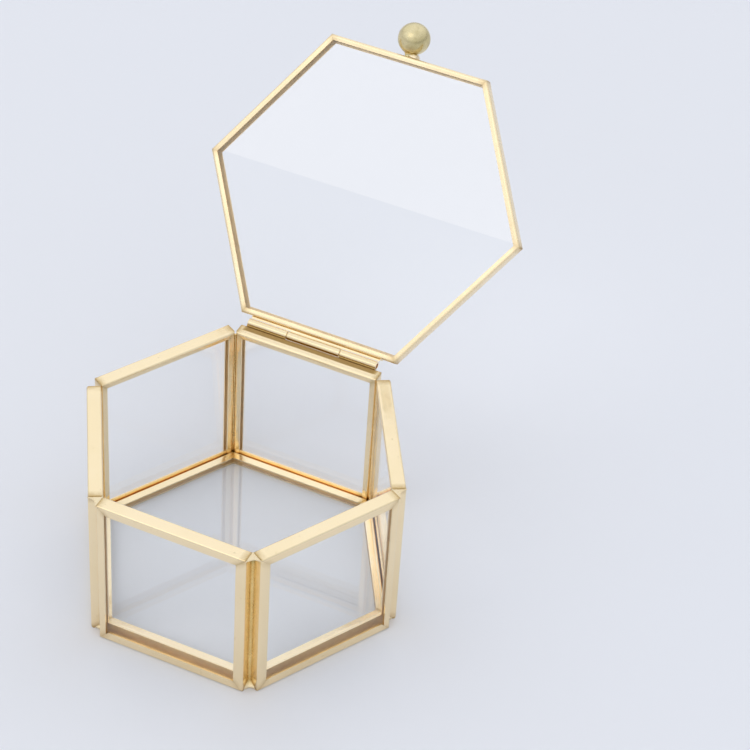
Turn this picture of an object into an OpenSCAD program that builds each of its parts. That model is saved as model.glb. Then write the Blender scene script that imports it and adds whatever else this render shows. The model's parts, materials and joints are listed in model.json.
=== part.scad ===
// Hexagonal jewellery box of glass panes held in folded brass channel.
// Six upright framed panes stand in a ring, a framed pane closes the bottom,
// and a framed hexagonal lid opens on a three-knuckle hinge at the rear.
// Origin: centre of the underside. +Z up, the hinge is on the +Y side.
// Side 1 is the hinge side, and the sides count clockwise seen from above.

/* [Box] */
// Length of each side of the hexagon inside the box
inner_side = 46; // [40:0.5:60]
// Height of the box from the table to the rim
body_h = 52.2; // [35:0.1:70]
// Width of the brass channel, measured through the pane
frame_t = 4.3; // [3.6:0.1:6]
// Thickness of the folded brass sheet
gauge = 0.5; // [0.4:0.05:0.7]
// Width of the rails' lips on the outer faces, and of the two posts' at the front right corner
outer_lip = 3; // [2:0.1:4]
// Width of the other posts' lips on the outer faces
post_lip = 2.2; // [1.6:0.1:4]
// Width of the channel lips on the inner faces
inner_lip = 2; // [1.6:0.1:3]
// Height of the inner lip of the bottom rails, which also covers the base frame
foot_lip = 5.2; // [4.6:0.1:6.5]

/* [Base] */
// Height of the frame around the base pane
base_t = 4.3; // [3:0.1:4.5]
// Width of the lips of the base frame
base_lip = 2.6; // [2:0.1:4]

/* [Lid] */
// Angle by which the lid stands open, from closed
open_angle = 130.5; // [0:0.5:150]
// Gap between the closed lid and the rim
lid_gap = 0.3; // [0.3:0.05:0.6]
// How far the lid's edge stays inside the box's outer faces
lid_inset = 0.6; // [0.3:0.05:1.2]
// Width of the lid rails' lips on the face that shows when the lid is shut
lid_outer_lip = 2.3; // [2:0.1:4]
// Width of the lid rails' lips on the face towards the box
lid_inner_lip = 1.7; // [1.6:0.1:3]
// Diameter of the ball knob
knob_d = 9.7; // [8:0.1:12]
// Gap between the lid's edge and the ball, filled by its stem and solder
knob_gap = 0.8; // [0.4:0.1:1.5]
// How far the ball sits to the left of the middle of its rail
knob_shift = 0.8; // [0:0.1:2]

/* [Hinge] */
// Length of the hinge barrel
hinge_len = 42; // [30:0.5:43]
// How far the hinge sits to the left of the middle of the rear side
hinge_shift = 0.5; // [0:0.1:1]
// Outer radius of the hinge barrel
barrel_r = 1.3; // [1.25:0.05:1.6]
// Radius of the hinge pin
pin_r = 0.7; // [0.5:0.05:0.8]
// Thickness of the hinge leaves
leaf_t = 0.5; // [0.4:0.05:0.55]
// Height of the body's leaf, from the hinge axis to its lower edge
leaf_h = 3.2; // [2.8:0.1:4]

/* [Hidden] */
SIDES = [1:6];
// The corner after this side, going clockwise, is the front right one, where the posts are wider
WIDE_CORNER = 3;

$fn = 96;

BRASS = [0.87, 0.74, 0.54];
HINGE_BRASS = [0.84, 0.70, 0.47];
SOLDER = [0.72, 0.64, 0.50];
GLASS = [0.86, 0.91, 0.95, 0.35];

// A 90 degree corner shortens a mitred lip by its own width, a 120 degree
// corner by that times tan(30).
SQUARE_MITRE = 1;
HEX_MITRE = tan(30);
APOTHEM = cos(30);

inner_apothem = inner_side * APOTHEM;
outer_apothem = inner_apothem + frame_t;

// Glass sits in its channel with a little room on every side.
seat_gap = 0.1;
side_glass_t = frame_t - 2 * gauge - 2 * seat_gap;
base_glass_t = base_t - 2 * gauge - 2 * seat_gap;
edge_room = gauge + seat_gap;

// The base frame sits just inside the ring of side frames.
base_room = 0.05;
base_apothem = inner_apothem - base_room;

lid_apothem = outer_apothem - lid_inset;
lid_z = body_h + lid_gap;

// The hinge axis is level with the rim, as close behind the box as the lid's
// knuckle can turn. The body's leaf lies flat on the rear of the box. The lid's
// leaf lies on the lid's rear edge and is bent over towards the barrel's top.
swing_room = 0.32;
hinge_y = outer_apothem + swing_room + barrel_r;
hinge_z = body_h - 0.1;
lid_leaf_top_room = 0.5;
pin_room = 0.05;
// How far a leaf stays away from the axis beside the other leaf's knuckle
leaf_relief = sqrt(pow(barrel_r + swing_room, 2) - pow(barrel_r + swing_room - leaf_t, 2));
flange_relief = sqrt(pow(barrel_r + swing_room, 2) - pow(barrel_r - leaf_t, 2));
// Where the three knuckles meet, as fractions of the barrel from its left end
knuckle_splits = [0, 0.305, 0.717, 1];
knuckle_gap = 0.3;
pin_recess = 1.5;

// Solder runs down the groove between neighbouring frames from a little below
// the rim, thin along its length and full at the foot.
solder_root = 0.15;
solder_seam = 0.9;
solder_cap = 2.6;
solder_cap_h = 0.7;
solder_slope = 1.6;
solder_top_drop = 1.3;

knob_reach = knob_gap + knob_d / 2;
knob_stem_r = 1.2;
knob_solder_r = 2.2;
// Where the ball's surface crosses the solder's outer radius
knob_solder_h = knob_reach - sqrt(pow(knob_d / 2, 2) - pow(knob_solder_r, 2));
// The solder is as wide as the rail, less a little on both sides
knob_solder_w = frame_t - 0.4;

// ---- helpers ----

// Moves children from the rear side to side i
module at_side(i) {
    rotate([0, 0, -60 * (i - 1)])
        translate([0, inner_apothem, 0])
            children();
}

// Turns the closed lid about the hinge to where it stands open
module open_lid() {
    translate([0, hinge_y, hinge_z])
        rotate([-open_angle, 0, 0])
            translate([0, -hinge_y, -hinge_z])
                children();
}

// Flat plate in the XZ plane, thick along +Y: its ends are mitred as far as
// bend above its long edge, and square from there on
module mitred_plate(length, height, thick, mitre, bend) {
    half = length / 2;
    cut = bend * mitre;
    translate([0, thick, 0])
        rotate([90, 0, 0])
            linear_extrude(thick)
                polygon([
                    [-half, 0],
                    [half, 0],
                    [half - cut, bend],
                    [half - cut, height],
                    [-half + cut, height],
                    [-half + cut, bend]
                ]);
}

// Channel along X: its back lies on z = 0, its lips rise to +Z, and y runs
// from the near lip at 0 to the far lip at width
module channel(length, width, near_lip, far_lip, mitre, near_bend) {
    mitred_plate(length, gauge, width, mitre, gauge);
    mitred_plate(length, near_lip, gauge, mitre, near_bend);
    translate([0, width - gauge, 0])
        mitred_plate(length, far_lip, gauge, mitre, far_lip);
}

module hexagon(apothem, height) {
    // a six-sided cylinder starts with a corner on +X, so its flats face +Y and -Y
    cylinder(r = apothem / APOTHEM, h = height, $fn = 6);
}

// ---- side panels ----

module side_glass(i) {
    color(GLASS)
        at_side(i)
            translate([-inner_side / 2 + edge_room, edge_room, edge_room])
                cube([inner_side - 2 * edge_room, side_glass_t, body_h - 2 * edge_room]);
}

module bottom_rail(i) {
    color(BRASS)
        at_side(i)
            channel(inner_side, frame_t, foot_lip, outer_lip, SQUARE_MITRE, inner_lip);
}

module top_rail(i) {
    color(BRASS)
        at_side(i)
            translate([0, 0, body_h])
                mirror([0, 0, 1])
                    channel(inner_side, frame_t, inner_lip, outer_lip, SQUARE_MITRE, inner_lip);
}

module upright(far_lip) {
    channel(body_h, frame_t, inner_lip, far_lip, SQUARE_MITRE, inner_lip);
}

module post_left(i) {
    color(BRASS)
        at_side(i)
            translate([-inner_side / 2, 0, body_h / 2])
                rotate([0, 90, 0])
                    upright(i == WIDE_CORNER + 1 ? outer_lip : post_lip);
}

module post_right(i) {
    color(BRASS)
        at_side(i)
            translate([inner_side / 2, 0, body_h / 2])
                rotate([0, -90, 0])
                    upright(i == WIDE_CORNER ? outer_lip : post_lip);
}

// Solder at the corner after side i, going clockwise: the groove's wedge, cut
// to a profile that is full at the foot and thin above
module corner_solder(i) {
    top = body_h - solder_top_drop;
    color(SOLDER)
        rotate([0, 0, 60 - 60 * (i - 1)])
            translate([inner_side, 0, 0])
                intersection() {
                    linear_extrude(body_h)
                        polygon([
                            [solder_root, -solder_root * HEX_MITRE],
                            [frame_t, -frame_t * HEX_MITRE],
                            [frame_t, frame_t * HEX_MITRE],
                            [solder_root, solder_root * HEX_MITRE]
                        ]);
                    translate([0, frame_t, 0])
                        rotate([90, 0, 0])
                            linear_extrude(2 * frame_t)
                                polygon([
                                    [0, 0],
                                    [solder_cap, 0],
                                    [solder_cap, solder_cap_h],
                                    [solder_seam, solder_cap_h + solder_slope],
                                    [solder_seam, top],
                                    [0, top]
                                ]);
                }
}

// ---- base ----

module base_glass() {
    color(GLASS)
        translate([0, 0, edge_room])
            hexagon(base_apothem - edge_room, base_glass_t);
}

// One strip folded round the base pane
module base_frame() {
    color(BRASS)
        difference() {
            hexagon(base_apothem, base_t);
            translate([0, 0, gauge])
                hexagon(base_apothem - gauge, base_t - 2 * gauge);
            translate([0, 0, -1])
                hexagon(base_apothem - base_lip, base_t + 2);
        }
}

// ---- lid ----

module lid_glass() {
    color(GLASS)
        open_lid()
            translate([0, 0, lid_z + edge_room])
                hexagon(lid_apothem - edge_room, side_glass_t);
}

// Rail lying along X with its back outwards: its lips run in from the lid's edge
module lid_rail(i) {
    length = 2 * lid_apothem * HEX_MITRE;
    color(BRASS)
        open_lid()
            rotate([0, 0, -60 * (i - 1)])
                translate([0, lid_apothem, lid_z])
                    rotate([90, 0, 0])
                        channel(length, frame_t, lid_inner_lip, lid_outer_lip, HEX_MITRE, lid_inner_lip);
}

// Moves children to the middle of the front rail's edge, with +Z pointing out
module at_knob() {
    open_lid()
        translate([-knob_shift, -lid_apothem, lid_z + frame_t / 2])
            rotate([90, 0, 0])
                children();
}

module ball_knob() {
    color(BRASS)
        at_knob()
            union() {
                translate([0, 0, knob_reach])
                    sphere(d = knob_d);
                cylinder(r = knob_stem_r, h = knob_reach);
            }
}

// Solder between the rail and the ball, no wider than the rail
module knob_solder() {
    color(SOLDER)
        at_knob()
            difference() {
                intersection() {
                    cylinder(r = knob_solder_r, h = knob_solder_h);
                    translate([-knob_solder_r - 1, -knob_solder_w / 2, -1])
                        cube([2 * knob_solder_r + 2, knob_solder_w, knob_solder_h + 2]);
                }
                translate([0, 0, knob_reach])
                    sphere(d = knob_d);
                translate([0, 0, -1])
                    cylinder(r = knob_stem_r, h = knob_solder_h + 2);
            }
}

// ---- hinge ----

hinge_left = -hinge_shift - hinge_len / 2;
hinge_right = hinge_left + hinge_len;

function split_x(k) = hinge_left + knuckle_splits[k] * hinge_len;
function knuckle_from(k) = split_x(k) + (k > 0 ? knuckle_gap / 2 : 0);
function knuckle_to(k) = split_x(k + 1) - (k < 2 ? knuckle_gap / 2 : 0);

// Knuckle k of the barrel, counted from 0 at the left
module knuckle(k) {
    translate([knuckle_from(k), hinge_y, hinge_z])
        rotate([0, 90, 0])
            cylinder(r = barrel_r, h = knuckle_to(k) - knuckle_from(k));
}

module pin_bore() {
    translate([hinge_left - 1, hinge_y, hinge_z])
        rotate([0, 90, 0])
            cylinder(r = pin_r + pin_room, h = hinge_len + 2);
}

// Plate from x0 to x1, standing on a rear face at y0, from height z0 to z1
module leaf_plate(x0, x1, y0, z0, z1) {
    translate([x0, y0, z0])
        cube([x1 - x0, leaf_t, z1 - z0]);
}

module hinge_body_leaf() {
    foot = hinge_z - leaf_h;
    color(HINGE_BRASS)
        difference() {
            union() {
                leaf_plate(hinge_left, hinge_right, outer_apothem, foot, hinge_z - leaf_relief);
                for (k = [0, 2]) {
                    knuckle(k);
                    leaf_plate(knuckle_from(k), knuckle_to(k), outer_apothem, foot, hinge_z);
                }
            }
            pin_bore();
        }
}

// The bent-over part of the lid's leaf, from x0 to x1 and back to y1
module leaf_flange(x0, x1, y1) {
    translate([x0, lid_apothem, hinge_z + barrel_r - leaf_t])
        cube([x1 - x0, y1 - lid_apothem, leaf_t]);
}

module hinge_lid_leaf() {
    foot = hinge_z + barrel_r - leaf_t;
    top = lid_z + frame_t - lid_leaf_top_room;
    color(HINGE_BRASS)
        open_lid()
            difference() {
                union() {
                    knuckle(1);
                    leaf_plate(hinge_left, hinge_right, lid_apothem, foot, top);
                    leaf_flange(hinge_left, hinge_right, hinge_y - flange_relief);
                    leaf_flange(knuckle_from(1), knuckle_to(1), hinge_y);
                }
                pin_bore();
            }
}

module hinge_pin() {
    color(HINGE_BRASS)
        translate([hinge_left + pin_recess, hinge_y, hinge_z])
            rotate([0, 90, 0])
                cylinder(r = pin_r, h = hinge_len - 2 * pin_recess);
}

// ---- assembly ----

for (i = SIDES) {
    side_glass(i);
    top_rail(i);
    bottom_rail(i);
    post_left(i);
    post_right(i);
    corner_solder(i);
    lid_rail(i);
}
base_glass();
base_frame();
lid_glass();
ball_knob();
knob_solder();
hinge_body_leaf();
hinge_lid_leaf();
hinge_pin();
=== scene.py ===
"""Hexagonal glass jewelry box in folded brass channel, seen from above the front right corner."""
import json
import math

import bpy
import bmesh
from mathutils import Matrix, Vector, noise


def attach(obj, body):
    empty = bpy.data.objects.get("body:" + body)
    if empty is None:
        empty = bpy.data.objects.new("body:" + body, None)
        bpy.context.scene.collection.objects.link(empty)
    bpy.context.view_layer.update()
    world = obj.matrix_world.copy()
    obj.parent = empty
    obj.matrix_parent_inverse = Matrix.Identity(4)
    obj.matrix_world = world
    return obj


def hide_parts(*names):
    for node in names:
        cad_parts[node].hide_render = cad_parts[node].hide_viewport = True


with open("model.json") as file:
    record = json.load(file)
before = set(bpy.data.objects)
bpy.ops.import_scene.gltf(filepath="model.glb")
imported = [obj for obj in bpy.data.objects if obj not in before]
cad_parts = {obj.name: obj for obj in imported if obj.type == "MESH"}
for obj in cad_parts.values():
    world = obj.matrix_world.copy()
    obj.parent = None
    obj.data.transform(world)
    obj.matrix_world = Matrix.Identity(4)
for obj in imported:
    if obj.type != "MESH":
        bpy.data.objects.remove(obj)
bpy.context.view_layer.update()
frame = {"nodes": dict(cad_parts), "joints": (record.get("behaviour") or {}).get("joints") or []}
NODES = frame["nodes"]
MM = 0.001
SIDES = range(1, 7)

# Sizes in millimetres, as in the CAD source
INNER_SIDE = 46.0
BODY_H = 52.2
FRAME_T = 4.3
GAUGE = 0.5
OUTER_LIP = 3.0
POST_LIP = 2.2
# The corner after this side, going clockwise, is the front right one, where the posts are wider
WIDE_CORNER = 3
INNER_LIP = 2.0
FOOT_LIP = 5.2
BASE_T = 4.3
BASE_LIP = 2.6
LID_GAP = 0.3
LID_INSET = 0.6
LID_OUTER_LIP = 2.3
LID_INNER_LIP = 1.7
KNOB_D = 9.7
KNOB_GAP = 0.8
KNOB_SHIFT = 0.8
KNOB_SOLDER_R = 2.2
HINGE_LEN = 42.0
HINGE_SHIFT = 0.5
BARREL_R = 1.3
PIN_BORE_R = 0.75
LEAF_T = 0.5
LEAF_H = 3.2
SWING_ROOM = 0.32
LID_LEAF_TOP_ROOM = 0.5
KNUCKLE_SPLITS = (0.0, 0.305, 0.717, 1.0)
KNUCKLE_GAP = 0.3
SOLDER_TOP_DROP = 1.3
# Slopes of the mitres between rails that meet square and round a hexagon
SQUARE = 1.0
HEX = math.tan(math.radians(30))
APOTHEM = math.cos(math.radians(30))
INNER_APOTHEM = INNER_SIDE * APOTHEM
OUTER_APOTHEM = INNER_APOTHEM + FRAME_T
LID_APOTHEM = OUTER_APOTHEM - LID_INSET
BASE_APOTHEM = INNER_APOTHEM - 0.05
LID_Z = BODY_H + LID_GAP
HINGE_Y = OUTER_APOTHEM + SWING_ROOM + BARREL_R
HINGE_Z = BODY_H - 0.1
LEAF_RELIEF = math.sqrt((BARREL_R + SWING_ROOM) ** 2 - (BARREL_R + SWING_ROOM - LEAF_T) ** 2)
FLANGE_RELIEF = math.sqrt((BARREL_R + SWING_ROOM) ** 2 - (BARREL_R - LEAF_T) ** 2)
OPEN_ANGLE = frame["joints"][0]["range_deg"][1]

# Details that only the visual model has, in millimetres
# Radius of a fold, on its outside, and how far the sheet wanders
FOLD_R = 0.68
WANDER = 0.035
MITRE_GAP = 0.02
# How far the lips lean in over the glass, as a slope
PINCH = 0.07
# How far from a rail's end its brass is browned by the soldering
END_WEAR = 2.0
# Under the hinge the rail's back is painted brown as the barrel's shade and dark reflection, from this
# share of its width outwards
BARREL_SHADE_FROM = 0.48
# Heights below this on a channel's outline are on its back
ON_BACK = 0.1
# Corners that carry a cap of solder at the rim, and how far such a seam stays from table and rim
SOLDERED_RIMS = (2, 3, 4)
SOLDER_ROOM = 0.12
# The bead of solder beside the knob's stem, and the stem's radius
BEAD_SHIFT = 1.9
BEAD_R = 1.7
STEM_R = 1.2
# How far the hinge's leaves stand off the frames, and its sheet off the pin bore and its own ends
LEAF_OFF = 0.01
BORE_ROOM = 0.02
LEAF_END_ROOM = 0.02
# How far a knuckle's sheet is tucked into its leaf, and how far inside the leaf's faces it lies there
TUCK = 0.2
SINK = 0.02
# How far the floor lies below the table plane, so that the two never share a face
FLOOR_DROP = 0.02

# ---------------------------------------------------------------- camera
CAM_AZIMUTH = 22.1
CAM_ELEVATION = 40.88
CAM_ROLL = 4.02
CAM_DISTANCE = 736.0 * MM
CAM_AIM = Vector((0.0, 0.0, 29.15)) * MM
CAM_RIGHT = 38.36 * MM
CAM_UP = 34.78 * MM
CAM_LENS = 122.23


def add_camera():
    az, el, roll = (math.radians(v) for v in (CAM_AZIMUTH, CAM_ELEVATION, CAM_ROLL))
    back = Vector((math.sin(az) * math.cos(el), -math.cos(az) * math.cos(el), math.sin(el)))
    right = (-back).cross(Vector((0, 0, 1))).normalized()
    up = right.cross(-back)
    right, up = (
        math.cos(roll) * right + math.sin(roll) * up,
        math.cos(roll) * up - math.sin(roll) * right,
    )
    place = CAM_AIM + back * CAM_DISTANCE + right * CAM_RIGHT + up * CAM_UP
    data = bpy.data.cameras.new("camera")
    data.lens = CAM_LENS
    data.sensor_width = 36.0
    data.clip_start = 0.01
    data.clip_end = 20.0
    camera = bpy.data.objects.new("camera", data)
    bpy.context.scene.collection.objects.link(camera)
    camera.matrix_world = Matrix((
        (right.x, up.x, back.x, place.x),
        (right.y, up.y, back.y, place.y),
        (right.z, up.z, back.z, place.z),
        (0, 0, 0, 1),
    ))
    bpy.context.scene.camera = camera


# ---------------------------------------------------------------- node helpers
class Tree:
    """A material's node tree, with a short way to add and join nodes."""

    def __init__(self, name):
        self.material = bpy.data.materials.new(name)
        self.material.use_nodes = True
        self.tree = self.material.node_tree
        self.tree.nodes.clear()
        self.output = self.add("ShaderNodeOutputMaterial")

    def add(self, kind, inputs=(), **props):
        node = self.tree.nodes.new(kind)
        for key, value in props.items():
            setattr(node, key, value)
        for key, value in dict(inputs).items():
            if isinstance(value, bpy.types.NodeSocket):
                self.tree.links.new(value, node.inputs[key])
            else:
                node.inputs[key].default_value = value
        return node

    def finish(self, shader):
        self.tree.links.new(shader, self.output.inputs["Surface"])
        return self.material

    def place(self):
        return self.add("ShaderNodeTexCoord").outputs["Object"]

    def along(self, stretch):
        """The piece's own UV in metres, squeezed along its length, for brushed marks."""
        spec = {"Vector": self.add("ShaderNodeTexCoord").outputs["UV"], "Scale": stretch}
        return self.add("ShaderNodeMapping", spec).outputs["Vector"]

    def noise(self, scale, detail=3.0, rough=0.5, vector=None):
        where = vector or self.place()
        spec = {"Vector": where, "Scale": scale, "Detail": detail, "Roughness": rough}
        return self.add("ShaderNodeTexNoise", spec).outputs["Fac"]

    def spread(self, value, low, high, to_low, to_high):
        spec = {"Value": value, "From Min": low, "From Max": high, "To Min": to_low, "To Max": to_high}
        return self.add("ShaderNodeMapRange", spec).outputs["Result"]

    def math(self, operation, first, second):
        return self.add("ShaderNodeMath", {0: first, 1: second}, operation=operation).outputs[0]

    def blend(self, share, first, second):
        node = self.add("ShaderNodeMix", {"Factor": share}, data_type="RGBA")
        for key, value in ((6, first), (7, second)):
            if isinstance(value, bpy.types.NodeSocket):
                self.tree.links.new(value, node.inputs[key])
            else:
                node.inputs[key].default_value = (*value, 1.0)
        return node.outputs[2]


# ---------------------------------------------------------------- materials
# Dark brown painted on the rim rail under the hinge as the barrel's shade and dark reflection
BARREL_SHADE_BROWN = (0.30, 0.165, 0.045)
# Dark olive painted just under a solder cap as the shade the cap casts into the groove
SOLDER_CAP_SHADE = (0.36, 0.31, 0.13)
# Tarnish, also the first step of the painted shade under the hinge barrel
TARNISH_AND_SHADE = (0.52, 0.35, 0.14)


def brass_material(name, bright, deep, tarnish_and_shade, rough, scratch_depth):
    """Polished brass: clouded tone, fine scratches and faint dents.

    It is browned toward tarnish near soldered ends and in tarnish spots, and painted tarnish-dark as
    shade in the hinge's crevice; where the wear attribute passes 1 it is painted dark brown as the hinge
    barrel's shade and dark reflection. Inside a fold it is rougher, and painted a darker brown as shade.
    """
    t = Tree(name)
    cloud = t.noise(48.0, 4.0, 0.55)
    patch = t.noise(210.0, 4.0, 0.6)
    wear_and_shade = t.add("ShaderNodeAttribute", attribute_name="wear_and_shade").outputs["Fac"]
    tone = t.blend(t.spread(cloud, 0.38, 0.66, 0.0, 1.0), bright, deep)
    patchy = t.spread(patch, 0.35, 0.62, 0.25, 1.0)
    # Real browning near soldered ends, and painted shade where the attribute is set for the hinge's
    # crevice and the barrel
    grime_and_shade = t.math("MULTIPLY", wear_and_shade, t.spread(wear_and_shade, 0.6, 0.95, patchy, 1.0))
    spots = t.spread(t.noise(650.0, 3.0, 0.6), 0.66, 0.78, 0.0, 0.45)
    tone = t.blend(t.math("MAXIMUM", grime_and_shade, spots), tone, tarnish_and_shade)
    # Inside a fold the sheet is unpolished, and its browner tone there is painted shade of the channel's
    # inside
    raw_and_shaded = t.add("ShaderNodeAttribute", attribute_name="raw_and_shaded").outputs["Fac"]
    unpolished_and_shaded = t.blend(
        t.spread(patch, 0.35, 0.65, 0.0, 1.0), (0.94, 0.74, 0.45), (0.85, 0.65, 0.38)
    )
    tone = t.blend(raw_and_shaded, tone, unpolished_and_shaded)
    # Past 1, dark brown painted as the hinge barrel's shade and dark reflection
    tone = t.blend(t.spread(wear_and_shade, 1.0, 2.0, 0.0, 1.0), tone, BARREL_SHADE_BROWN)
    scratches = t.noise(1.0, 4.0, 0.65, t.along((90.0, 5200.0, 1.0)))
    fine = t.noise(1400.0, 4.0, 0.6)
    dull = t.math("MAXIMUM", t.math("MULTIPLY", grime_and_shade, 0.15), t.math("MULTIPLY", raw_and_shaded, 0.24))
    roughness = t.math("ADD", t.spread(fine, 0.3, 0.7, *rough), dull)
    dents = t.noise(120.0, 2.0, 0.5)
    soft = t.add("ShaderNodeBump", {"Strength": 0.30, "Distance": 0.00045, "Height": dents})
    bump = t.add("ShaderNodeBump", {
        "Strength": scratch_depth, "Distance": 0.00002, "Height": scratches,
        "Normal": soft.outputs[0],
    })
    return t.finish(t.add("ShaderNodeBsdfPrincipled", {
        "Base Color": tone, "Metallic": 1.0, "Roughness": roughness, "Normal": bump.outputs[0],
    }).outputs[0])


def knob_material(name):
    """Cast ball: satin, mottled between gold and olive."""
    t = Tree(name)
    mottle = t.noise(420.0, 5.0, 0.6)
    cloud = t.noise(170.0, 2.0, 0.5)
    tone = t.blend(t.spread(cloud, 0.35, 0.65, 0.0, 1.0), (0.77, 0.66, 0.39), (0.60, 0.51, 0.26))
    tone = t.blend(t.spread(mottle, 0.52, 0.72, 0.0, 0.55), tone, (0.42, 0.32, 0.15))
    bump = t.add("ShaderNodeBump", {"Strength": 0.25, "Distance": 0.00012, "Height": mottle})
    return t.finish(t.add("ShaderNodeBsdfPrincipled", {
        "Base Color": tone, "Metallic": 1.0, "Roughness": t.spread(mottle, 0.35, 0.7, 0.22, 0.38),
        "Normal": bump.outputs[0],
    }).outputs[0])


def glass_material(name):
    """Clear float glass with a faint film of dust and handling."""
    t = Tree(name)
    film = t.noise(30.0, 4.0, 0.6)
    dust = t.noise(2600.0, 2.0, 0.5)
    roughness = t.spread(film, 0.45, 0.75, 0.0, 0.012)
    glass = t.add("ShaderNodeBsdfPrincipled", {
        "Base Color": (0.998, 1.0, 1.0, 1.0), "Roughness": roughness,
        "IOR": 1.65, "Transmission Weight": 1.0,
    })
    haze = t.add("ShaderNodeBsdfDiffuse", {"Color": (0.9, 0.9, 0.9, 1.0)})
    share = t.math("MULTIPLY", t.spread(dust, 0.68, 0.76, 0.0, 0.05), t.spread(film, 0.4, 0.7, 0.0, 1.0))
    dusty = t.add("ShaderNodeMixShader", {0: share, 1: glass.outputs[0], 2: haze.outputs[0]})
    clear = t.add("ShaderNodeBsdfTransparent", {"Color": (0.988, 0.991, 0.992, 1.0)})
    rays = t.add("ShaderNodeLightPath")
    return t.finish(t.add("ShaderNodeMixShader", {
        0: rays.outputs["Is Shadow Ray"], 1: dusty.outputs[0], 2: clear.outputs[0],
    }).outputs[0])


def solder_material(name):
    """Brass-toned solder: pale on the blobs at cap and foot, deep gold down the seams as painted shade
    of the groove, and dark olive just under a cap as painted shade.
    """
    t = Tree(name)
    cloud = t.noise(420.0, 5.0, 0.6)
    flux = t.noise(150.0, 3.0, 0.5)
    # Here the attribute is painted shade: 0 on blobs, 1 deep gold in the groove, 2 dark olive under a
    # cap
    seam = t.add("ShaderNodeAttribute", attribute_name="wear_and_shade").outputs["Fac"]
    pale = t.blend(t.spread(cloud, 0.3, 0.7, 0.0, 1.0), (0.80, 0.65, 0.42), (0.92, 0.78, 0.53))
    deep = t.blend(t.spread(flux, 0.35, 0.7, 0.0, 1.0), (0.90, 0.66, 0.29), (0.78, 0.54, 0.20))
    gold = t.blend(t.spread(seam, 0.0, 1.0, 0.0, 1.0), pale, deep)
    tone = t.blend(t.spread(seam, 1.0, 2.0, 0.0, 1.0), gold, SOLDER_CAP_SHADE)
    bump = t.add("ShaderNodeBump", {"Strength": 0.12, "Distance": 0.00015, "Height": cloud})
    return t.finish(t.add("ShaderNodeBsdfPrincipled", {
        "Base Color": tone, "Metallic": 1.0,
        "Roughness": t.spread(cloud, 0.3, 0.7, 0.2, 0.36), "Normal": bump.outputs[0],
    }).outputs[0])


def floor_material(name):
    t = Tree(name)
    cloud = t.noise(3.0, 3.0, 0.5)
    grain = t.noise(900.0, 3.0, 0.6)
    tone = t.blend(t.spread(cloud, 0.3, 0.7, 0.0, 1.0), FLOOR_TONE, FLOOR_TONE_2)
    bump = t.add("ShaderNodeBump", {"Strength": 0.05, "Distance": 0.0002, "Height": grain})
    return t.finish(t.add("ShaderNodeBsdfPrincipled", {
        "Base Color": tone, "Roughness": 0.75, "Normal": bump.outputs[0],
    }).outputs[0])


def card_material(name, strength):
    t = Tree(name)
    return t.finish(t.add("ShaderNodeEmission", {
        "Color": (1.0, 0.985, 0.96, 1.0), "Strength": strength,
    }).outputs[0])


def paint(obj, material):
    obj.data.materials.clear()
    obj.data.materials.append(material)


# ---------------------------------------------------------------- mesh helpers
def arc(cx, cy, radius, start, end, steps):
    """Points on a circle from start to end degrees, both included."""
    angles = (math.radians(start + (end - start) * k / steps) for k in range(steps + 1))
    return [(cx + radius * math.cos(a), cy + radius * math.sin(a)) for a in angles]


def line(first, last, steps):
    """Points strictly between two ends."""
    return [
        tuple(first[i] + (last[i] - first[i]) * k / steps for i in (0, 1))
        for k in range(1, steps)
    ]


def channel_outline(width, near_lip, far_lip):
    """Closed outline (y, z) of folded sheet: back on z = 0, lips rising at y = 0 and y = width."""
    g, fold_r = GAUGE, FOLD_R
    inner_r = fold_r - g
    near_tip, far_tip = (0.0, near_lip), (width, far_lip)
    outline = [near_tip, *line(near_tip, (0.0, fold_r), 3)]
    outline += arc(fold_r, fold_r, fold_r, 180, 270, 7)
    outline += line((fold_r, 0.0), (width - fold_r, 0.0), 8)
    outline += arc(width - fold_r, fold_r, fold_r, 270, 360, 7)
    outline += [*line((width, fold_r), far_tip, 3), far_tip, (width - g, far_lip)]
    # From here the outline runs inside the folds, which are painted browner as shade
    fold_inside_from = len(outline)
    outline += [(width - g, far_lip - 0.15)]
    outline += arc(width - fold_r, fold_r, inner_r, 0, -90, 4)
    outline += arc(fold_r, fold_r, inner_r, 270, 180, 4)
    outline += [(g, near_lip - 0.15), (g, near_lip)]
    pinched = []
    for y, z in outline:
        lean = PINCH * max(0.0, z - fold_r)
        pinched.append((y + lean if y < width / 2 else y - lean, z))
    return pinched, fold_inside_from


def outline_run(outline):
    """Running length round an outline, for UVs."""
    run = [0.0]
    for first, last in zip(outline, outline[1:]):
        run.append(run[-1] + math.dist(first, last))
    return run


def link_mesh(name, build, sharp_deg=38.0):
    bmesh.ops.recalc_face_normals(build, faces=build.faces)
    limit = math.radians(sharp_deg)
    for face in build.faces:
        face.smooth = True
    for edge in build.edges:
        if len(edge.link_faces) == 2 and edge.calc_face_angle(0.0) > limit:
            edge.smooth = False
    mesh = bpy.data.meshes.new(name)
    build.to_mesh(mesh)
    build.free()
    obj = bpy.data.objects.new(name, mesh)
    bpy.context.scene.collection.objects.link(obj)
    return obj


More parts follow.
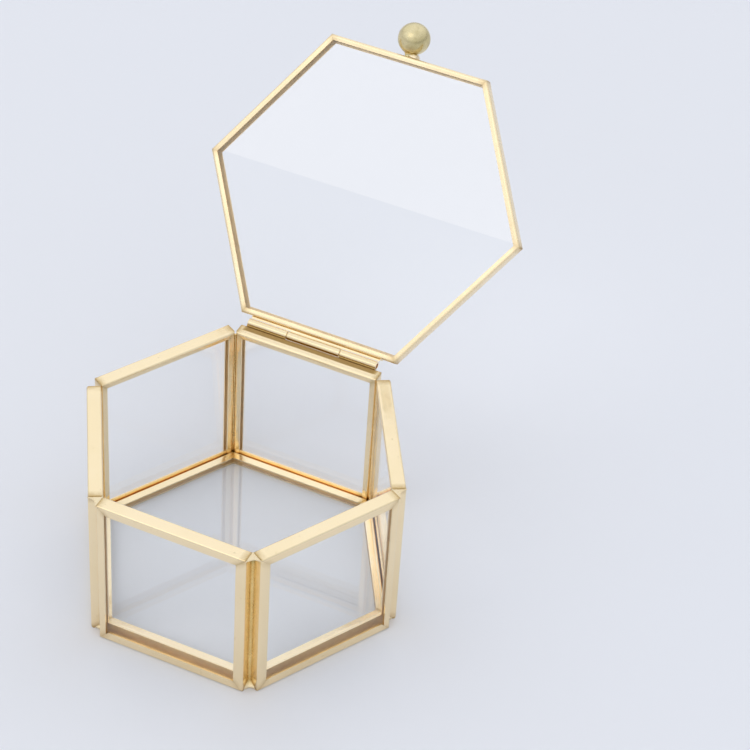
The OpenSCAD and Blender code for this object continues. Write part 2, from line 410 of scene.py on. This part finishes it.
def sweep(name, rings, run, lengths, wear_and_shade, closed_path=False, fold_inside_from=None):
    """Skin of matching point rings: capped at both ends, or joined into a loop.

    rings holds lists of Vectors in mm, run the UV across, lengths the UV along, and the next argument
    one value per ring or per point, for browning and painted shade. Points from the index given last
    on lie inside the fold, where the sheet was never polished and is painted browner as shade.
    """
    build = bmesh.new()
    uv = build.loops.layers.uv.new("along")
    wear_and_shade_layer = build.verts.layers.float.new("wear_and_shade")
    raw_and_shaded = build.verts.layers.float.new("raw_and_shaded")
    rows = []
    for ring, amount in zip(rings, wear_and_shade):
        row = [build.verts.new(point * MM) for point in ring]
        for k, vert in enumerate(row):
            vert[wear_and_shade_layer] = amount[k] if isinstance(amount, list) else amount
            vert[raw_and_shaded] = 1.0 if fold_inside_from and k >= fold_inside_from else 0.0
        rows.append(row)
    count = len(rings[0])
    spans = len(rows) if closed_path else len(rows) - 1
    for a in range(spans):
        b = (a + 1) % len(rows)
        for k in range(count):
            m = (k + 1) % count
            face = build.faces.new((rows[a][k], rows[a][m], rows[b][m], rows[b][k]))
            ends = (lengths[a], lengths[a], lengths[a + 1], lengths[a + 1])
            sides = (run[k], run[m], run[m], run[k])
            for loop, u, v in zip(face.loops, ends, sides):
                loop[uv].uv = (u * MM, v * MM)
    if not closed_path:
        build.faces.new(rows[0])
        build.faces.new(rows[-1])
    return link_mesh(name, build)


def hand_in(obj, node, body, material):
    paint(obj, material)
    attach(obj, body)
    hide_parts(node)


# ---------------------------------------------------------------- folded rails
def rail(name, length, near_lip, far_lip, mitre, near_bend, place, seed, barrel_shade_reach=0.0):
    """Folded channel along X, cut to a mitre at both ends, then moved by the matrix place.

    near_bend is how far up the near lip the mitre goes, and the last argument how far either side of its
    middle the far fold and the back are painted brown as the hinge barrel's shade and dark reflection.
    """
    outline, fold_inside_from = channel_outline(FRAME_T, near_lip, far_lip)
    run = outline_run(outline)
    half = length / 2 - MITRE_GAP
    right_half = [0.25, 0.5, 0.75, 0.9, 0.96, 0.985, 1.0]
    stations = [-s for s in reversed(right_half)] + [0.0] + right_half
    rings = []
    for s in stations:
        fade = 1.0 - s ** 8
        ring = []
        for k, (y, z) in enumerate(outline):
            bend = near_bend if y < FRAME_T / 2 else far_lip
            x = s * (half - mitre * min(z, bend))
            drift = noise.noise(Vector((s * 3.1, seed * 7.3, run[k] * 0.12)))
            sag = noise.noise(Vector((s * 5.3, seed * 3.7 + 40.0, run[k] * 0.12)))
            ring.append(place @ Vector((
                x, y + WANDER * fade * drift, z + WANDER * fade * (sag + 0.6),
            )))
        rings.append(ring)
    # Brass browned by soldering near the ends; under the hinge, painted shade and dark reflection of the
    # barrel on the far fold and the back
    wear_and_shade = []
    for s in stations:
        ends = max(0.0, 1.0 - half * (1.0 - abs(s)) / END_WEAR)
        by_hinge = abs(s * half) < barrel_shade_reach
        row = []
        for y, z in outline:
            on_back = z < ON_BACK
            on_fold = by_hinge and y > FRAME_T - FOLD_R and z < FOLD_R + 0.01
            on_web = by_hinge and on_back and y > BARREL_SHADE_FROM * FRAME_T
            barrel_shade = 2.0 if on_fold else 1.5 if on_web else 0.0
            row.append(max(barrel_shade, ends * (1.0 if on_back else 0.6)))
        wear_and_shade.append(row)
    lengths = [s * half + seed * 97.0 for s in stations]
    return sweep(name, rings, run, lengths, wear_and_shade, fold_inside_from=fold_inside_from)


def turn(axis, degrees):
    return Matrix.Rotation(math.radians(degrees), 4, axis)


def shift(x, y, z):
    return Matrix.Translation((x, y, z))


def at_side(i):
    return turn("Z", -60 * (i - 1)) @ shift(0, INNER_APOTHEM, 0)


OPEN_LID = shift(0, HINGE_Y, HINGE_Z) @ turn("X", -OPEN_ANGLE) @ shift(0, -HINGE_Y, -HINGE_Z)


def build_rails(brass, lid_brass):
    flip = Matrix.Scale(-1, 4, (0, 0, 1))
    mid = BODY_H / 2
    half = INNER_SIDE / 2
    for i in SIDES:
        side = at_side(i)
        left_lip = OUTER_LIP if i == WIDE_CORNER + 1 else POST_LIP
        right_lip = OUTER_LIP if i == WIDE_CORNER else POST_LIP
        plan = (
            (f"bottom_rail_{i}", INNER_SIDE, FOOT_LIP, OUTER_LIP, side),
            (f"top_rail_{i}", INNER_SIDE, INNER_LIP, OUTER_LIP, side @ shift(0, 0, BODY_H) @ flip),
            (f"post_left_{i}", BODY_H, INNER_LIP, left_lip,
             side @ shift(-half, 0, mid) @ turn("Y", 90)),
            (f"post_right_{i}", BODY_H, INNER_LIP, right_lip,
             side @ shift(half, 0, mid) @ turn("Y", -90)),
        )
        for k, (node, length, near_lip, far_lip, place) in enumerate(plan):
            # The rim rail under the hinge is painted with the barrel's shade and dark reflection along
            # the hinge's length
            barrel_shade_reach = HINGE_LEN / 2 if node == "top_rail_1" else 0.0
            piece = rail(
                f"folded_{node}", length, near_lip, far_lip,
                SQUARE, INNER_LIP, place, i * 4 + k, barrel_shade_reach,
            )
            hand_in(piece, node, "box", brass)
        lid_side = turn("Z", -60 * (i - 1)) @ shift(0, LID_APOTHEM, LID_Z) @ turn("X", 90)
        piece = rail(
            f"folded_lid_rail_{i}", 2 * LID_APOTHEM * HEX, LID_INNER_LIP, LID_OUTER_LIP,
            HEX, LID_INNER_LIP, OPEN_LID @ lid_side, 30 + i,
        )
        hand_in(piece, f"lid_rail_{i}", "lid", lid_brass)


def build_base_frame(brass):
    """One strip folded round the base pane: its section runs round the hexagon without a break."""
    outline, fold_inside_from = channel_outline(BASE_T, BASE_LIP, BASE_LIP)
    run = outline_run(outline)
    steps = (0.0, 0.03, 0.15, 0.5, 0.85, 0.97)
    rings, wear_and_shade, lengths = [], [], []
    for corner in range(6):
        for s in steps:
            ring = []
            for z, inward in outline:
                reach = (BASE_APOTHEM - inward) / APOTHEM
                ends = [
                    Vector((math.cos(a), math.sin(a), 0.0)) * reach
                    for a in (math.radians(60 * corner), math.radians(60 * corner + 60))
                ]
                point = ends[0].lerp(ends[1], s)
                ring.append(Vector((point.x, point.y, z)))
            rings.append(ring)
            wear_and_shade.append(max(0.0, 1.0 - min(s, 1.0 - s) / 0.05))
            lengths.append((corner + s) * BASE_APOTHEM / APOTHEM)
    lengths.append(6 * BASE_APOTHEM / APOTHEM)
    piece = sweep(
        "folded_base_frame", rings, run, lengths, wear_and_shade, closed_path=True, fold_inside_from=fold_inside_from
    )
    hand_in(piece, "base_frame", "box", brass)


# ---------------------------------------------------------------- solder
def solder_depth(z, top, seed, capped):
    """How far out of the corner the solder reaches at height z, and its colour.

    The colour goes from 0 on a cap or foot through 1 on a plain seam, painted deep gold as the groove's
    shade, to 2 just under a cap, painted dark olive as the shade of the cap.
    """
    wander = noise.noise(Vector((z * 0.16, seed * 5.1, 0.0)))
    foot = math.exp(-((z - 0.2) / 0.9) ** 2)
    cap = math.exp(-((top - z) / 0.75) ** 4) if capped else 0.0
    # Painted shade under the cap, centred 2 mm below the top
    shade_under_cap = math.exp(-((top - 2.0 - z) / 1.3) ** 2) if capped else 0.0
    return 0.95 + 0.1 * wander + 1.9 * foot + 2.9 * cap, 1.0 - max(foot, cap) + shade_under_cap


def build_corner_solder(solder):
    levels = 90
    across = 9
    for i in SIDES:
        capped = i in SOLDERED_RIMS
        top = BODY_H - (SOLDER_ROOM if capped else SOLDER_TOP_DROP)
        place = turn("Z", 60 - 60 * (i - 1)) @ shift(INNER_SIDE, 0, 0)
        rings, seam_shades = [], []
        for n in range(levels + 1):
            share = n / levels
            crowded = share - 0.08 * math.sin(2 * math.pi * share)
            z = SOLDER_ROOM + (top - SOLDER_ROOM) * crowded
            depth, seam = solder_depth(z, top, i, capped)
            seam_shades.append(seam)
            ring = [place @ Vector((0.15, 0.16, z)), place @ Vector((0.15, -0.16, z))]
            for k in range(across):
                v = -1.0 + 2.0 * k / (across - 1)
                hollow = depth * (1.0 - 0.22 * (1.0 - v * v))
                lump = 0.03 * depth * noise.noise(Vector((v * 1.2, z * 1.1, i * 11.0)))
                out = max(0.25, hollow + lump)
                ring.append(place @ Vector((out, v * out * HEX * 0.98, z)))
            rings.append(ring)
        run = [0.3 * k for k in range(across + 2)]
        lengths = [0.55 * n for n in range(levels + 1)]
        piece = sweep(f"solder_seam_{i}", rings, run, lengths, seam_shades)
        hand_in(piece, f"corner_solder_{i}", "box", solder)


# ---------------------------------------------------------------- knob
def lathe(name, profile, place, rough_mm, rough_scale, clip_y=None):
    """Turned shape about +Z from (radius, height) points, lightly lumpy.

    clip_y rounds it off before that distance on both sides in Y. The matrix place then moves it.
    """
    around = 64
    rings = []
    for a in range(around):
        angle = 2 * math.pi * a / around
        ring = []
        for radius, height in profile:
            point = Vector((radius * math.cos(angle), radius * math.sin(angle), height))
            lump = rough_mm * noise.noise(point * rough_scale)
            point *= 1.0 + lump / max(point.length, 1.0)
            if clip_y:
                point.y = clip_y * math.tanh(point.y / clip_y * 1.25) / math.tanh(1.25)
            ring.append(place @ point)
        rings.append(ring)
    build = bmesh.new()
    uv = build.loops.layers.uv.new("along")
    rows = [[build.verts.new(p * MM) for p in ring] for ring in rings]
    for a in range(around):
        b = (a + 1) % around
        for k in range(len(profile) - 1):
            face = build.faces.new((rows[a][k], rows[b][k], rows[b][k + 1], rows[a][k + 1]))
            for loop, u, v in zip(face.loops, (a, a + 1, a + 1, a), (k, k, k + 1, k + 1)):
                loop[uv].uv = (u * 0.0005, v * 0.0005)
    bmesh.ops.remove_doubles(build, verts=build.verts, dist=1e-7)
    return link_mesh(name, build, 60.0)


def build_knob(knob, solder):
    at_knob = OPEN_LID @ shift(-KNOB_SHIFT, -LID_APOTHEM, LID_Z + FRAME_T / 2) @ turn("X", 90)
    radius = KNOB_D / 2
    reach = KNOB_GAP + radius
    start = math.degrees(math.asin((STEM_R + 0.35) / radius))
    ball = [
        (radius * math.sin(a) * 0.998, reach - radius * math.cos(a) * 0.998)
        for a in (math.radians(start + (180 - start) * k / 40) for k in range(41))
    ]
    profile = [(1e-6, 0.05), (STEM_R, 0.05), (STEM_R, 0.3), (STEM_R + 0.05, 0.6), *ball]
    piece = lathe("turned_ball_knob", profile, at_knob, 0.05, 0.35)
    hand_in(piece, "ball_knob", "lid", knob)
    height = reach - math.sqrt(radius ** 2 - KNOB_SOLDER_R ** 2)
    bead = [
        (0.3, 0.02), (BEAD_R - 0.1, 0.02), (BEAD_R, 0.2), (BEAD_R - 0.05, 0.6),
        (BEAD_R - 0.25, 1.0), (BEAD_R - 0.6, height - 0.1), (0.3, height),
    ]
    beside = at_knob @ shift(BEAD_SHIFT, 0, 0)
    piece = lathe("solder_bead_knob", bead, beside, 0.35, 0.9, FRAME_T / 2 - 0.2)
    hand_in(piece, "knob_solder", "lid", solder)


# ---------------------------------------------------------------- hinge
def split_x(k):
    return -HINGE_SHIFT - HINGE_LEN / 2 + KNUCKLE_SPLITS[k] * HINGE_LEN


def knuckle_span(k):
    start = split_x(k) + (KNUCKLE_GAP / 2 if k > 0 else 0.0)
    end = split_x(k + 1) - (KNUCKLE_GAP / 2 if k < 2 else 0.0)
    return start, end


def extrude_yz(build, outline, x0, x1, steps, place):
    """Adds a closed prism of the (y, z) outline from x0 to x1, its end edges eased."""
    ease = 0.07
    cy = sum(p[0] for p in outline) / len(outline)
    cz = sum(p[1] for p in outline) / len(outline)
    xs = [x0, x0 + ease] + [x0 + (x1 - x0) * k / steps for k in range(1, steps)] + [x1 - ease, x1]
    rows = []
    for n, x in enumerate(xs):
        shrink = 0.985 if n in (0, len(xs) - 1) else 1.0
        rows.append([
            build.verts.new((place @ Vector((x, cy + (y - cy) * shrink, cz + (z - cz) * shrink))) * MM)
            for y, z in outline
        ])
    # Points low on the frame's side of the barrel are painted dark as the shade in the crevice between
    # hinge and frame
    wear_and_shade_layer = build.verts.layers.float["wear_and_shade"]
    for row in rows:
        for vert, (y, z) in zip(row, outline):
            by_frame = y < HINGE_Y - 0.85 * BARREL_R and z < HINGE_Z + 0.2 * BARREL_R
            vert[wear_and_shade_layer] = 1.0 if by_frame else 0.0
    uv = build.loops.layers.uv.verify()
    count = len(outline)
    for a in range(len(xs) - 1):
        for k in range(count):
            m = (k + 1) % count
            face = build.faces.new((rows[a][k], rows[a][m], rows[a + 1][m], rows[a + 1][k]))
            for loop, u, v in zip(face.loops, (xs[a], xs[a], xs[a + 1], xs[a + 1]), (k, m, m, k)):
                loop[uv].uv = (u * MM, v * 0.3 * MM)
    build.faces.new(rows[0])
    build.faces.new(rows[-1])


def rolled_body_knuckle():
    """Sheet that comes up the rear of the box, over the pin and round to a seam at the leaf."""
    near, far = OUTER_APOTHEM + LEAF_OFF + SINK, OUTER_APOTHEM + LEAF_OFF + LEAF_T - SINK
    foot = HINGE_Z - LEAF_RELIEF - TUCK
    seam = 14 - math.degrees(math.acos((far - HINGE_Y) / BARREL_R))
    outline = [(near, foot), (near, HINGE_Z - 0.05), (near + 0.1, HINGE_Z)]
    outline += arc(HINGE_Y, HINGE_Z, BARREL_R, 178, seam, 34)
    outline += arc(HINGE_Y, HINGE_Z, PIN_BORE_R + BORE_ROOM, seam, 178, 26)
    outline += [(far, HINGE_Z - 0.45), (far, foot)]
    return outline


def rolled_lid_knuckle():
    """Sheet that comes level off the lid, over the pin and round to a seam under itself."""
    near = HINGE_Y - FLANGE_RELIEF - TUCK
    low, high = HINGE_Z + BARREL_R - LEAF_T, HINGE_Z + BARREL_R
    outline = [(near, low + SINK), (near, high - SINK), (HINGE_Y - 0.6, high)]
    outline += arc(HINGE_Y, HINGE_Z, BARREL_R, 90, -205, 30)
    outline += arc(HINGE_Y, HINGE_Z, PIN_BORE_R + BORE_ROOM, -205, 90, 26)
    outline += [(HINGE_Y - 0.6, low)]
    return outline


def rectangle(y0, z0, y1, z1):
    """Outline of a flat sheet with its four corners bevelled."""
    c = 0.08
    return [
        (y0, z0 + c), (y0 + c, z0), (y1 - c, z0), (y1, z0 + c),
        (y1, z1 - c), (y1 - c, z1), (y0 + c, z1), (y0, z1 - c),
    ]


def build_hinge(hinge_brass):
    left, right = split_x(0), split_x(3)
    start, end = left + LEAF_END_ROOM, right - LEAF_END_ROOM
    y0 = OUTER_APOTHEM + LEAF_OFF
    still = Matrix.Identity(4)
    build = bmesh.new()
    build.verts.layers.float.new("wear_and_shade")
    outline = rectangle(y0, HINGE_Z - LEAF_H, y0 + LEAF_T, HINGE_Z - LEAF_RELIEF)
    extrude_yz(build, outline, start, end, 16, still)
    for k in (0, 2):
        extrude_yz(build, rolled_body_knuckle(), *knuckle_span(k), 8, still)
    piece = link_mesh("rolled_hinge_body_leaf", build)
    hand_in(piece, "hinge_body_leaf", "box", hinge_brass)

    build = bmesh.new()
    build.verts.layers.float.new("wear_and_shade")
    y0 = LID_APOTHEM + LEAF_OFF
    low, high = HINGE_Z + BARREL_R - LEAF_T, HINGE_Z + BARREL_R
    top = LID_Z + FRAME_T - LID_LEAF_TOP_ROOM
    outline = [(y0, top)]
    outline += arc(y0 + LEAF_T, low + LEAF_T, LEAF_T, 180, 270, 6)
    outline += [(HINGE_Y - FLANGE_RELIEF, low), (HINGE_Y - FLANGE_RELIEF, high - 0.05)]
    outline += [(y0 + LEAF_T + 0.05, high), (y0 + LEAF_T, high + 0.05), (y0 + LEAF_T, top)]
    extrude_yz(build, outline, start, end, 16, OPEN_LID)
    extrude_yz(build, rolled_lid_knuckle(), *knuckle_span(1), 8, OPEN_LID)
    piece = link_mesh("rolled_hinge_lid_leaf", build)
    hand_in(piece, "hinge_lid_leaf", "lid", hinge_brass)


# ---------------------------------------------------------------- nodes kept from the CAD
def dress_nodes(hinge_brass, glass):
    for name, obj in NODES.items():
        if "glass" in name:
            paint(obj, glass)
    paint(NODES["hinge_pin"], hinge_brass)


# ---------------------------------------------------------------- studio
# The two tones that the floor is clouded with
FLOOR_TONE = (0.782, 0.785, 0.82)
FLOOR_TONE_2 = (0.79, 0.79, 0.818)


def add_floor():
    mesh = bpy.data.meshes.new("floor")
    build = bmesh.new()
    bmesh.ops.create_grid(build, x_segments=8, y_segments=8, size=3.0)
    build.to_mesh(mesh)
    build.free()
    floor = bpy.data.objects.new("floor", mesh)
    bpy.context.scene.collection.objects.link(floor)
    floor.location.z = -FLOOR_DROP * MM
    paint(floor, floor_material("floor"))


def add_card(name, distance, low, high, x_from, x_to, strength):
    """A glowing card before the open lid, between two elevations as seen from the lid's middle."""
    middle = OPEN_LID @ Vector((0.0, 0.0, LID_Z + FRAME_T / 2)) * MM
    edges = []
    for elevation in (math.radians(low), math.radians(high)):
        toward = Vector((0.0, -math.cos(elevation), math.sin(elevation)))
        edges.append(middle + toward * distance)
    corners = [
        (x_from, edges[0].y, edges[0].z), (x_to, edges[0].y, edges[0].z),
        (x_to, edges[1].y, edges[1].z), (x_from, edges[1].y, edges[1].z),
    ]
    mesh = bpy.data.meshes.new(name)
    mesh.from_pydata(corners, [], [(0, 1, 2, 3)])
    card = bpy.data.objects.new(name, mesh)
    bpy.context.scene.collection.objects.link(card)
    paint(card, card_material(name, strength))


# Strength of the dome, and of its lower part in front; its share on the right and at the horizon
WORLD_BRIGHT = 1.07
WORLD_DIM = 1.0
WORLD_RIGHT = 0.8
WORLD_HORIZON = 0.62


def add_world():
    """Even white dome, dimmer low down in front, on the right and all round the horizon."""
    world = bpy.data.worlds.new("studio")
    world.use_nodes = True
    tree = world.node_tree
    back = tree.nodes["Background"]
    back.inputs["Color"].default_value = (0.93, 0.965, 1.02, 1.0)
    coords = tree.nodes.new("ShaderNodeTexCoord")
    split = tree.nodes.new("ShaderNodeSeparateXYZ")
    tree.links.new(coords.outputs["Generated"], split.inputs[0])

    def ramp(value, low, high, to_low, to_high):
        node = tree.nodes.new("ShaderNodeMapRange")
        node.interpolation_type = "SMOOTHSTEP"
        tree.links.new(value, node.inputs["Value"])
        limits = {"From Min": low, "From Max": high, "To Min": to_low, "To Max": to_high}
        for key, number in limits.items():
            node.inputs[key].default_value = number
        return node.outputs["Result"]

    def times(first, second):
        node = tree.nodes.new("ShaderNodeMath")
        node.operation = "MULTIPLY"
        tree.links.new(first, node.inputs[0])
        tree.links.new(second, node.inputs[1])
        return node.outputs[0]

    front = ramp(split.outputs["Y"], -0.75, -0.1, 1.0, 0.0)
    low = ramp(split.outputs["Z"], 0.5, 0.75, 1.0, 0.0)
    ahead = ramp(times(front, low), 0.0, 1.0, WORLD_BRIGHT, WORLD_DIM)
    right = ramp(split.outputs["X"], 0.35, 0.9, 1.0, WORLD_RIGHT)
    horizon = ramp(split.outputs["Z"], 0.08, 0.34, WORLD_HORIZON, 1.0)
    tree.links.new(times(times(ahead, right), horizon), back.inputs["Strength"])
    bpy.context.scene.world = world


def set_bounces():
    """Enough bounces for light to find its way through a pane, round a channel and out again."""
    cycles = bpy.context.scene.cycles
    cycles.max_bounces = 32
    cycles.glossy_bounces = 24
    cycles.transmission_bounces = 24
    cycles.transparent_max_bounces = 24


def build_box():
    brass = brass_material(
        "brass", (0.985, 0.815, 0.54), (0.96, 0.785, 0.50), TARNISH_AND_SHADE, (0.10, 0.20), 0.5
    )
    lid_brass = brass_material(
        "lid_brass", (0.97, 0.80, 0.53), (0.945, 0.77, 0.49), TARNISH_AND_SHADE, (0.22, 0.32), 0.5
    )
    # The hinge's tarnish colour is also its painted shade in the crevice by the frame
    hinge_brass = brass_material(
        "hinge_brass", (0.94, 0.78, 0.51), (0.89, 0.72, 0.45), (0.60, 0.40, 0.14), (0.09, 0.2), 0.6
    )
    solder = solder_material("solder")
    dress_nodes(hinge_brass, glass_material("glass"))
    build_rails(brass, lid_brass)
    build_base_frame(brass)
    build_corner_solder(solder)
    build_knob(knob_material("knob_brass"), solder)
    build_hinge(hinge_brass)


add_camera()
build_box()
add_floor()
add_world()
add_card("front_card", 1.3, 41.9, 64.0, -0.8, 0.05, 1.5)
set_bounces()
bpy.context.scene.view_settings.view_transform = "Standard"
